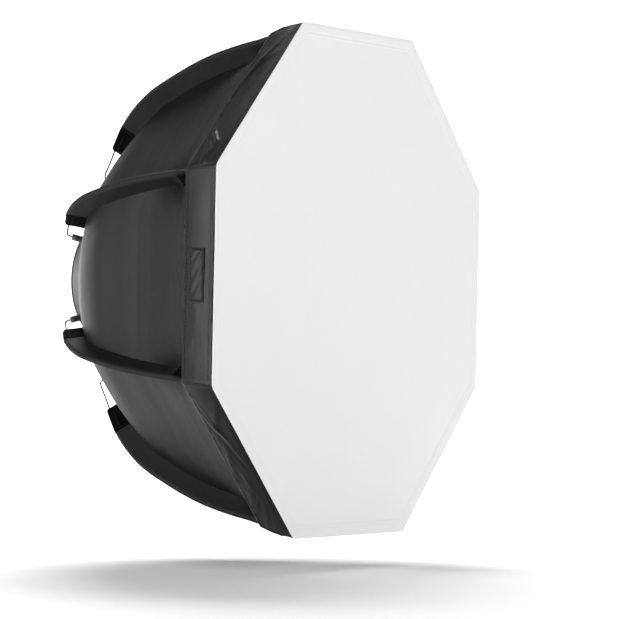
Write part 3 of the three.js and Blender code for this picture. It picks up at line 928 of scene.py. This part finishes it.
def add_sleeve(number, angle, size):
    """A rib's sleeve: one strip of nylon folded round the rod and sewn to itself, with slack wrinkles in its wall
    and a waving free edge near the hem."""
    rows = 170
    centre, wall, face, t = rib_frames(SLEEVE_FROM - 0.018, CAP_FROM + 0.02, rows, number)
    outline = pocket_outline(size.sleeve, POCKET, 0.0010)
    run = length_along(centre)[:, None]
    x = outline[None, :, 0] * np.ones((rows, 1))
    inwards = np.clip(x / size.sleeve, 0, 1)
    x = x + 0.0015 * smoothstep(0.25, 0.5, t)[:, None] * inwards ** 3
    slack = 0.0005 * ripples(run / 0.030, x / 0.020, number * 13 + 1, 9) * smoothstep(0.15, 0.6, inwards)
    gathers = 0.00018 * ripples(run / 0.0030, 0 * x, number * 13 + 2, 11) * np.exp(
        -((x - size.sleeve + SEWN_INSET) / 0.0025) ** 2)
    free = 1 - smoothstep(0.06, 0.30, t)[:, None]
    waving = 0.0012 * free * inwards ** 2 * np.sin(run / 0.040 * 2 * math.pi + number)
    y = outline[None, :, 1] + slack + gathers + waving
    tuck = 1 - 0.35 * (1 - smoothstep(-0.03, 0.02, t))[:, None]
    points = centre[:, None, :] + wall[:, None, :] * x[..., None] + face[:, None, :] * (y * tuck)[..., None]
    around = np.concatenate([[0], np.cumsum(np.linalg.norm(np.diff(outline, axis=0), axis=1))])
    uv = np.stack(np.broadcast_arrays(run, around[None, :]), -1)
    obj = new_mesh(f"sleeve_{number}", turned(points, angle), grid_quads(rows, len(outline)), uv=uv,
                   material=finish_of("sleeve"), outwards=False)
    if sleeve_faces_out(points, centre) < 0:
        obj.data.flip_normals()
    solidified(obj, size.cloth * 0.8, -1)
    place(obj, f"rib_{number}", "sleeve_fabric", f"rib_sleeve_{number}")

    threads = []
    sewn = int(np.abs(outline[:15, 0] - (size.sleeve - SEWN_INSET)).argmin())
    for way, column in ((1, sewn), (-1, len(outline) - 1 - sewn)):
        threads.append(stitches(f"sleeve_thread_{number}", turned(points[4:-8, column], angle),
                                turned((face * way)[4:-8], angle), *SLEEVE_STITCH))
    root = turned(points[6:-6, [0, -1]].mean(1), angle)
    round_way = np.linspace(0, 2 * math.pi, 10, endpoint=False)
    section = 0.0011 * np.stack([np.cos(round_way), np.sin(round_way)], -1)
    piping = sweep("piping", root, (turned(wall[6:-6], angle), turned(face[6:-6], angle)), section,
                   material=finish_of("thread"))
    place(joined(f"sleeve_thread_{number}", [piping, *threads]), f"rib_{number}", "sleeve_fabric")
    return obj


def sleeve_faces_out(points, centre):
    """Which way a folded strip's quads face: above 0 if away from the rod."""
    a, b, c = points[:-1, :-1], points[:-1, 1:], points[1:, :-1]
    normal = np.cross(b - a, c - a)
    return float(((a - centre[:-1, None, :]) * normal).sum())


def add_cap(number, angle, size):
    """The webbing cap over a sleeve's rear end: a thicker folded strip whose end closes, sewn round its edge. Its
    half thickness falls at both ends as the square root of 1 - |e|^14, with e from -1 to 1 along the cap."""
    rows = 40
    centre, wall, face, _ = rib_frames(CAP_FROM - 0.004, 1.0, rows, number)
    outline = pocket_outline(size.sleeve + 0.0006, POCKET + 0.0011, 0.0022)
    e = np.linspace(-1, 1, rows)[:, None]
    x = outline[None, :, 0] * np.ones((rows, 1))
    soft = (1 - np.abs(e) ** 14) ** 0.5
    y = outline[None, :, 1] * (0.3 + 0.7 * soft)
    run = length_along(centre)[:, None]
    x = np.where(x < 0, x * (0.4 + 0.6 * soft), x) + 0.0016 * np.clip(x / size.sleeve, 0, 1) ** 3
    y = y + 0.0003 * ripples(run / 0.006, x / 0.006, number * 17 + 1)
    points = centre[:, None, :] + wall[:, None, :] * x[..., None] + face[:, None, :] * y[..., None]
    cols = len(outline)
    around = np.concatenate([[0], np.cumsum(np.linalg.norm(np.diff(outline, axis=0), axis=1))])
    uv = np.stack(np.broadcast_arrays(run, around[None, :]), -1)
    caps = [np.arange(cols)[::-1], (rows - 1) * cols + np.arange(cols)]
    cap = new_mesh(f"sleeve_cap_{number}", turned(points, angle), grid_quads(rows, cols, True), uv=uv, caps=caps,
                   material=finish_of("webbing"), sharp=60)
    threads = []
    for k, base in ((1, 0), (-1, cols - 1)):
        def column(i):
            return base + k * i
        loop = np.concatenate([points[3:-3, column(2)], points[-4, [column(i) for i in range(3, 12)]],
                               points[3:-3, column(12)][::-1], points[3, [column(i) for i in range(11, 2, -1)]]])
        up = np.concatenate([face[3:-3], np.tile(face[-4], (9, 1)), face[3:-3][::-1], np.tile(face[3], (9, 1))]) * k
        threads.append(stitches(f"cap_thread_{number}", turned(loop, angle), turned(up, angle), *CAP_STITCH))
    obj = joined(f"sleeve_cap_{number}", [cap, *threads])
    return place(obj, f"rib_{number}", "webbing", f"rib_end_cap_{number}")


def add_tab(number, angle, size):
    """The webbing tab that sews a sleeve's front end down: a strip lying over the sleeve behind the hem, thicker in
    its middle than at its edges."""
    rows, cols = 21, 33
    centre, wall, face, _ = rib_frames(SLEEVE_FROM - 0.004, SLEEVE_FROM + 0.036, rows, number)
    x = np.linspace(-0.0034, 0.0185, cols)
    outline = pocket_outline(size.sleeve, POCKET, 0.0010)[:26]
    order = np.argsort(outline[:, 0])
    over = np.interp(x, outline[order, 0], outline[order, 1])
    e, g = np.linspace(-1, 1, rows)[:, None], np.linspace(-1, 1, cols)[None, :]
    edge = np.maximum(np.abs(e) ** 12, np.abs(g) ** 18)
    lift = over[None, :] + 0.0016 + 0.0006 * (1 - edge) - 0.0008 * edge ** 3 + 0.0002 * ripples(
        e * 3, g * 5, number * 19)
    points = centre[:, None, :] + wall[:, None, :] * x[None, :, None] + face[:, None, :] * lift[..., None]
    run = length_along(centre)[:, None]
    uv = np.stack(np.broadcast_arrays(np.linspace(0, 0.0216, cols)[None, :], run), -1)
    tab = new_mesh(f"sleeve_tab_{number}", turned(points, angle), grid_quads(rows, cols), uv=uv,
                   material=finish_of("webbing"), outwards=False)
    face_sheet(tab)
    solidified(tab, 0.0015, -1)
    ring = np.concatenate([points[3, 3:-3], points[3:-3, -4], points[-4, 3:-3][::-1], points[3:-3, 3][::-1]])
    up = np.tile(face[rows // 2], (len(ring), 1))
    thread = stitches(f"tab_thread_{number}", turned(ring, angle), turned(up, angle), *TAB_STITCH)
    obj = joined(f"sleeve_tab_{number}", [tab, thread])
    return place(obj, f"rib_{number}", "webbing", f"front_tab_{number}")


def add_tie_cord(number, angle):
    """The elastic cord that pulls a rib's end to its hub arm: a round section carried along the cord's route."""
    line = smooth_line(CORD_ROUTE, 60)
    out_way = normals_of(line)
    centre = np.concatenate([line, np.zeros((len(line), 1))], 1)
    up = np.concatenate([out_way, np.zeros((len(line), 1))], 1)
    side = np.tile([0.0, 0.0, 1.0], (len(line), 1))
    turn = np.linspace(0, 2 * math.pi, 12, endpoint=False)
    swell = 1 + 0.18 * np.exp(-((np.linspace(0, 1, 60) - 0.97) / 0.03) ** 2)
    section = 0.0011 * swell[:, None, None] * np.stack([np.cos(turn), np.sin(turn)], -1)[None]
    obj = sweep(f"elastic_cord_{number}", turned(centre, angle), (turned(up, angle), turned(side, angle)), section,
                material=finish_of("cord"))
    place(obj, f"rib_{number}", "cord_elastic", f"tie_cord_{number}")
    return obj


class SOFTBOX_OT_sleeves(bpy.types.Operator):
    """Make the eight rib sleeves with their sewn lines"""
    bl_idname = "softbox.sleeves"
    bl_label = "Rib sleeves"

    def execute(self, context):
        for k in range(SIDES):
            add_sleeve(k + 1, RIB_ANGLES[k], sizes())
            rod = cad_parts[f"rib_rod_{k + 1}"]
            rod.data.materials.clear()
            rod.data.materials.append(finish_of("steel"))
        return {"FINISHED"}


class SOFTBOX_OT_webbing(bpy.types.Operator):
    """Make the webbing caps and tabs on the sleeves' ends"""
    bl_idname = "softbox.webbing"
    bl_label = "Caps and tabs"

    def execute(self, context):
        for k in range(SIDES):
            add_cap(k + 1, RIB_ANGLES[k], sizes())
            add_tab(k + 1, RIB_ANGLES[k], sizes())
        return {"FINISHED"}


class SOFTBOX_OT_cords(bpy.types.Operator):
    """Make the elastic cords between the ribs' ends and the hub arms"""
    bl_idname = "softbox.cords"
    bl_label = "Elastic cords"

    def execute(self, context):
        for k in range(SIDES):
            add_tie_cord(k + 1, RIB_ANGLES[k])
        return {"FINISHED"}


# ---------------------------------------------------------------- hub and arms

SHANK_LENGTH = 0.025
SHANK_WAY = (math.sqrt(0.5), -math.sqrt(0.5))
SHANK_PROFILE = [(0.0, 0.0), (0.0062, 0.0), (0.0065, 0.0006), (0.0065, 0.0022), (0.0058, 0.0030), (0.0056, 0.0045),
                 (0.0042, 0.0165), (0.0042, 0.0195), (0.0037, 0.0200), (0.0037, 0.0243), (0.0030, 0.0246),
                 (0.0021, 0.0246), (0.0019, 0.0238), (0.0019, 0.0170), (0.0, 0.0170)]
FERRULE_PROFILE = [(0.0022, 0.0200), (0.0041, 0.0200), (0.0044, 0.0206), (0.0044, 0.0226), (0.0042, 0.0232),
                   (0.0046, 0.0238), (0.0046, 0.0247), (0.0040, 0.0252), (0.0028, 0.0253), (0.0020, 0.0247),
                   (0.0019, 0.0230)]
HUB_PROFILE = [(0.0580, 0.0010), (0.0590, 0.0), (0.0660, 0.0), (0.0664, 0.0006), (0.0690, 0.0006), (0.0694, 0.0),
               (0.0745, 0.0), (0.0757, 0.0006), (0.0760, 0.0016), (0.0760, 0.0180), (0.0755, 0.0186),
               (0.0755, 0.0200), (0.0760, 0.0206), (0.0760, 0.0415), (0.0750, 0.0430), (0.0640, 0.0430),
               (0.0580, 0.0375), (0.0580, 0.0200), (0.0592, 0.0190), (0.0592, 0.0120), (0.0580, 0.0110)]


def shank_place(angle):
    """Puts a turned profile on a hub arm's shank, which runs outwards and rearwards at 45 degrees."""
    foot = np.array(FERRULE_MOUTH) - SHANK_LENGTH * np.array(SHANK_WAY)

    def put(ring):
        x, y, along = ring[..., 0], ring[..., 1], ring[..., 2]
        out = foot[0] + along * SHANK_WAY[0] + x * SHANK_WAY[0]
        forward = foot[1] + along * SHANK_WAY[1] + x * SHANK_WAY[0]
        return turned(np.stack([out, forward, y], -1), angle)
    return put


def rounded_box(width, height, radius, steps=4):
    """The outline of a rectangle with rounded corners, as quarter circles at its four corners."""
    turn = np.linspace(0, math.pi / 2, steps)
    arc = np.stack([np.cos(turn), np.sin(turn)], 1) * radius
    quarter = [arc, arc[:, ::-1] * [-1, 1], arc * [-1, -1], arc[:, ::-1] * [1, -1]]
    corner = np.array([width / 2 - radius, height / 2 - radius])
    signs = [(1, 1), (-1, 1), (-1, -1), (1, -1)]
    return np.concatenate([q + corner * s for q, s in zip(quarter, signs)])


def add_arm(number, angle):
    """A hub arm: a rounded bar from its hinge boss to the rib, a tapered shank that comes out through the seam, and
    the nickel ferrule that takes the elastic cord."""
    line = smooth_line(ARM_ROUTE, 30)
    out_way = normals_of(line)
    centre = np.concatenate([line, np.zeros((30, 1))], 1)
    up = np.concatenate([out_way, np.zeros((30, 1))], 1)
    side = np.tile([0.0, 0.0, 1.0], (30, 1))
    t = np.linspace(0, 1, 30)
    taper = (0.8 + 0.2 * np.sin(math.pi * t)) * (1 - 0.3 * smoothstep(0.85, 1, t))
    outline = rounded_box(0.0078, 0.0078, 0.0016)
    section = outline[None] * np.stack([taper, np.ones(30)], -1)[:, None, :]
    bar = sweep("arm_bar", turned(centre, angle), (turned(up, angle), turned(side, angle)), section,
                material=finish_of("plastic"), sharp=50)
    shank = lathe("arm_shank", SHANK_PROFILE, 32, shank_place(angle), material=finish_of("plastic"), sharp=35)
    ferrule = lathe("arm_ferrule", FERRULE_PROFILE, 32, shank_place(angle), material=finish_of("ferrule"), sharp=40)

    def boss_place(ring):
        return turned(np.stack([HINGE[0] + ring[..., 0], HINGE[1] + ring[..., 1], ring[..., 2]], -1), angle)
    boss = lathe("arm_boss", [(0.0021, -0.0039), (0.0046, -0.0039), (0.0050, -0.0034), (0.0050, 0.0034),
                              (0.0046, 0.0039), (0.0021, 0.0039)], 28, boss_place, material=finish_of("plastic"),
                 sharp=40)
    pin = lathe("arm_pin", [(0.0, -0.0080), (0.0030, -0.0080), (0.0034, -0.0076), (0.0034, -0.0071),
                            (0.0020, -0.0069), (0.0020, 0.0069), (0.0034, 0.0071), (0.0034, 0.0076),
                            (0.0030, 0.0080), (0.0, 0.0080)], 24, boss_place, material=finish_of("ferrule"), sharp=40)
    obj = joined(f"arm_{number}", [bar, shank, ferrule, boss, pin])
    return place(obj, f"rib_{number}", "arm_plastic", f"hub_arm_{number}")


def hub_place(ring):
    """Puts a turned profile on the box's own axis."""
    return np.stack([ring[..., 0], -ring[..., 2], ring[..., 1]], -1)


def plate(name, outline, side_from, side_to, angle, material):
    """A flat plate: an outline of (out, forward) points, given a thickness across the radial direction."""
    outline = np.array(outline)
    n = len(outline)
    rows = [np.concatenate([outline, np.full((n, 1), s)], 1) for s in (side_from, side_to)]
    caps = [np.arange(n)[::-1], n + np.arange(n)]
    obj = new_mesh(name, turned(np.stack(rows), angle), grid_quads(2, n, True), caps=caps, material=material,
                   sharp=35)
    edge = obj.modifiers.new("edge", "BEVEL")
    edge.width, edge.segments, edge.limit_method = 0.0005, 2, "ANGLE"
    return finished(obj)


def add_hub():
    """The hub: a turned ring with a groove and a stepped rear face, eight pairs of ears, and rear screws."""
    ring = lathe("hub_casting", HUB_PROFILE, 160, hub_place, material=finish_of("hub"), sharp=30)
    rim = lathe("hub_rim", [(0.0752, -0.0002), (0.0764, 0.0004), (0.0766, 0.0014), (0.0764, 0.0024),
                            (0.0757, 0.0026)], 160, hub_place, material=finish_of("plastic"))
    parts = [ring, rim]
    turn = np.linspace(-math.pi / 2, math.pi / 2, 9)
    nose = np.stack([HINGE[0] + 0.006 * np.cos(turn), HINGE[1] + 0.006 * np.sin(turn)], 1)
    ear = np.concatenate([[(0.0745, HINGE[1] - 0.006)], nose, [(0.0745, HINGE[1] + 0.0029)]])
    for k in range(SIDES):
        for way in (-1, 1):
            parts.append(plate("hub_ear", ear, way * 0.0043, way * 0.0073, RIB_ANGLES[k], finish_of("hub")))
    for k in range(4):
        angle = GORE_ANGLES[2 * k]

        def screw_place(points, angle=angle):
            out = 0.0622 + points[..., 0]
            return turned(np.stack([out, 0.0002 - points[..., 2], points[..., 1]], -1), angle)
        profile = [(0.0, 0.0002), (0.0012, 0.0002), (0.0013, 0.0009), (0.0020, 0.0009), (0.0026, 0.0005),
                   (0.0028, -0.0006), (0.0, -0.0006)]
        parts.append(lathe("hub_screw", profile, 24, screw_place, material=finish_of("ferrule"), sharp=40))
    for k in range(3):
        lug = [(0.0545, 0.0310), (0.0584, 0.0310), (0.0584, 0.0350), (0.0545, 0.0345)]
        turn = np.linspace(-0.16, 0.16, 15) + k * 2 * math.pi / 3
        corner = np.array(lug)
        rows = np.stack([corner[None, :, 0] * np.cos(turn)[:, None], corner[None, :, 0] * np.sin(turn)[:, None],
                         corner[None, :, 1] * np.ones((15, 1))], -1)
        caps = [np.arange(4)[::-1], 14 * 4 + np.arange(4)]
        parts.append(new_mesh("hub_lug", hub_place(rows), grid_quads(15, 4, True), caps=caps,
                              material=finish_of("hub"), sharp=35))
    return place(joined("hub_casting", parts), "hub", "hub_metal", "hub_ring")


def add_binding(number, angle):
    """The bound rear edge of a canopy panel, round the hub: a soft tube carried from seam to seam."""
    steps = 60
    u = np.linspace(-1, 1, steps)
    end = SEAM[-1]
    side = end[0] * HALF_WIDTH * u
    out = end[0] * FLAT + 0.0010 * (1 - u ** 2) + 0.0003 * np.sin(u * 40 + number)
    centre = np.stack([out, np.full(steps, end[1]), side], -1)
    up, back = np.tile([1.0, 0.0, 0.0], (steps, 1)), np.tile([0.0, 1.0, 0.0], (steps, 1))
    turn = np.linspace(0, 2 * math.pi, 14, endpoint=False)
    section = np.stack([0.0016 * np.cos(turn), 0.0034 * np.sin(turn)], -1)
    obj = sweep(f"canopy_binding_{number}", turned(centre, angle), (turned(up, angle), turned(back, angle)),
                section, material=finish_of("webbing"))
    place(obj, f"gore_{number}", "webbing")
    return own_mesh(obj)


class SOFTBOX_OT_arms(bpy.types.Operator):
    """Make the eight hinged hub arms with their ferrules"""
    bl_idname = "softbox.arms"
    bl_label = "Hub arms"

    def execute(self, context):
        for k in range(SIDES):
            add_arm(k + 1, RIB_ANGLES[k])
        return {"FINISHED"}


class SOFTBOX_OT_hub(bpy.types.Operator):
    """Make the cast hub ring and the canopy's bound edge round it"""
    bl_idname = "softbox.hub"
    bl_label = "Hub"

    def execute(self, context):
        add_hub()
        for k in range(SIDES):
            add_binding(k + 1, GORE_ANGLES[k])
        return {"FINISHED"}


# ---------------------------------------------------------------- studio

CAMERA_AZIMUTH = math.radians(-58.04)
CAMERA_ELEVATION = math.radians(-0.71)
CAMERA_ROLL = math.radians(1.16)
CAMERA_DISTANCE = 4.0
CAMERA_LENS = 186.07
CAMERA_SLIDE = (-0.042, -0.0323)
AIR_HORIZON = 1.0
AIR_OVERHEAD = 0.06
AIR_FADES = (0.14, 0.42)
FLOOR_HEIGHT = -0.345
FLOOR_REACH = 9.0
FLOOR_FLAT = 5.0
FLOOR_RISE = 2.0
FLOOR_POINTS = 121
BOX_MIDDLE = (0, -0.2, 0)
# Name, place, target, side in metres, power in watts.
LIGHTS = [
    ("key_left", (-3.2, 2.2, 0.0), BOX_MIDDLE, 2.0, 350),
    ("front_fill", (-0.8, -4.4, 0.8), BOX_MIDDLE, 2.0, 106),
    ("floor_light", (1.8, 1.0, 2.6), (1.0, 0.6, -0.3), 1.6, 160),
    ("wall_wash_right", (4.5, 0.5, 2.5), (8.0, 4.5, 0.3), 2.5, 600),
    ("wall_wash_left", (3.0, 6.0, 2.0), (8.0, 5.0, 0.2), 2.5, 600),
]


def add_camera():
    """The camera, looking at the front rim's middle and slid sideways and down from there."""
    back = Vector((math.sin(CAMERA_AZIMUTH) * math.cos(CAMERA_ELEVATION),
                   -math.cos(CAMERA_AZIMUTH) * math.cos(CAMERA_ELEVATION), math.sin(CAMERA_ELEVATION)))
    level_right = (-back).cross(Vector((0, 0, 1))).normalized()
    level_up = level_right.cross(-back)
    right = level_right * math.cos(CAMERA_ROLL) + level_up * math.sin(CAMERA_ROLL)
    up = level_up * math.cos(CAMERA_ROLL) - level_right * math.sin(CAMERA_ROLL)
    place_at = Vector((0, -BOX_DEPTH, 0)) + back * CAMERA_DISTANCE + right * CAMERA_SLIDE[0] + up * CAMERA_SLIDE[1]
    data = bpy.data.cameras.new("camera")
    data.lens = CAMERA_LENS
    data.sensor_width = 36
    camera = bpy.data.objects.new("camera", data)
    bpy.context.scene.collection.objects.link(camera)
    camera.matrix_world = Matrix([(right.x, up.x, back.x, place_at.x), (right.y, up.y, back.y, place_at.y),
                                  (right.z, up.z, back.z, place_at.z), (0, 0, 0, 1)])
    bpy.context.scene.camera = camera


def add_area_light(name, place_at, target, size, power):
    """A soft square light that faces a target."""
    data = bpy.data.lights.new(name, "AREA")
    data.shape = "SQUARE"
    data.size = size
    data.energy = power
    light = bpy.data.objects.new(name, data)
    light.location = place_at
    light.rotation_euler = (Vector(target) - Vector(place_at)).to_track_quat("-Z", "Y").to_euler()
    bpy.context.scene.collection.objects.link(light)


def add_floor():
    """The floor, a flat square round the object that curves up on all four sides: its height grows as a power of the
    distance past the flat part."""
    g = np.linspace(-FLOOR_REACH, FLOOR_REACH, FLOOR_POINTS)
    x, y = np.meshgrid(g, g, indexing="ij")
    beyond = np.maximum(np.maximum(np.abs(x), np.abs(y)) - FLOOR_FLAT, 0)
    z = FLOOR_HEIGHT + FLOOR_RISE * (beyond / (FLOOR_REACH - FLOOR_FLAT)) ** 2.2
    points = np.stack([x, y, z], -1)
    floor = new_mesh("studio_floor", points, grid_quads(FLOOR_POINTS, FLOOR_POINTS),
                     material=finish_of("studio_floor"), outwards=False)
    normal = floor.data.polygons[len(floor.data.polygons) // 2].normal
    if normal.z < 0:
        floor.data.flip_normals()


def add_air():
    """The studio's air: even white light near the horizon that fades to almost nothing overhead."""
    world = bpy.data.worlds.new("studio_air")
    world.use_nodes = True
    tree = world.node_tree
    parts = tree.nodes.new("ShaderNodeSeparateXYZ")
    tree.links.new(node(tree, "ShaderNodeTexCoord").outputs["Generated"], parts.inputs[0])
    fall = node(tree, "ShaderNodeMapRange", From_Min=AIR_FADES[0], From_Max=AIR_FADES[1], To_Min=AIR_HORIZON,
                To_Max=AIR_OVERHEAD)
    tree.links.new(parts.outputs["Z"], fall.inputs["Value"])
    tree.links.new(fall.outputs["Result"], tree.nodes["Background"].inputs["Strength"])
    tree.nodes["Background"].inputs["Color"].default_value = (1, 1, 1, 1)
    bpy.context.scene.world = world


class SOFTBOX_OT_studio(bpy.types.Operator):
    """Make the camera, the pale floor and the soft studio light"""
    bl_idname = "softbox.studio"
    bl_label = "Studio"

    def execute(self, context):
        scene = context.scene
        scene.view_settings.view_transform = "Standard"
        add_camera()
        add_floor()
        add_air()
        for light in LIGHTS:
            add_area_light(*light)
        return {"FINISHED"}


OPERATORS = (SOFTBOX_OT_canopy, SOFTBOX_OT_hem, SOFTBOX_OT_diffuser, SOFTBOX_OT_sleeves, SOFTBOX_OT_webbing,
             SOFTBOX_OT_cords, SOFTBOX_OT_arms, SOFTBOX_OT_hub, SOFTBOX_OT_studio)


class SOFTBOX_PT_panel(bpy.types.Panel):
    """Lists the softbox's pieces, colours and sizes"""
    bl_idname = "SOFTBOX_PT_panel"
    bl_label = "Studio softbox"
    bl_space_type = "VIEW_3D"
    bl_region_type = "UI"
    bl_category = "Softbox"

    def draw(self, context):
        layout = self.layout
        for operator in OPERATORS:
            layout.operator(operator.bl_idname)
        for group, kind in ((looks(), SoftboxLooks), (sizes(), SoftboxSizes)):
            for name in kind.__annotations__:
                layout.prop(group, name)


CLASSES = (SoftboxLooks, SoftboxSizes, *OPERATORS, SOFTBOX_PT_panel)


def register():
    for cls in CLASSES:
        bpy.utils.register_class(cls)
    bpy.types.Scene.softbox_looks = bpy.props.PointerProperty(type=SoftboxLooks)
    bpy.types.Scene.softbox_sizes = bpy.props.PointerProperty(type=SoftboxSizes)


def unregister():
    del bpy.types.Scene.softbox_looks
    del bpy.types.Scene.softbox_sizes
    for cls in reversed(CLASSES):
        bpy.utils.unregister_class(cls)


def main():
    register()
    for operator in OPERATORS:
        group, name = operator.bl_idname.split(".")
        getattr(getattr(bpy.ops, group), name)()


if __name__ == "__main__":
    main()
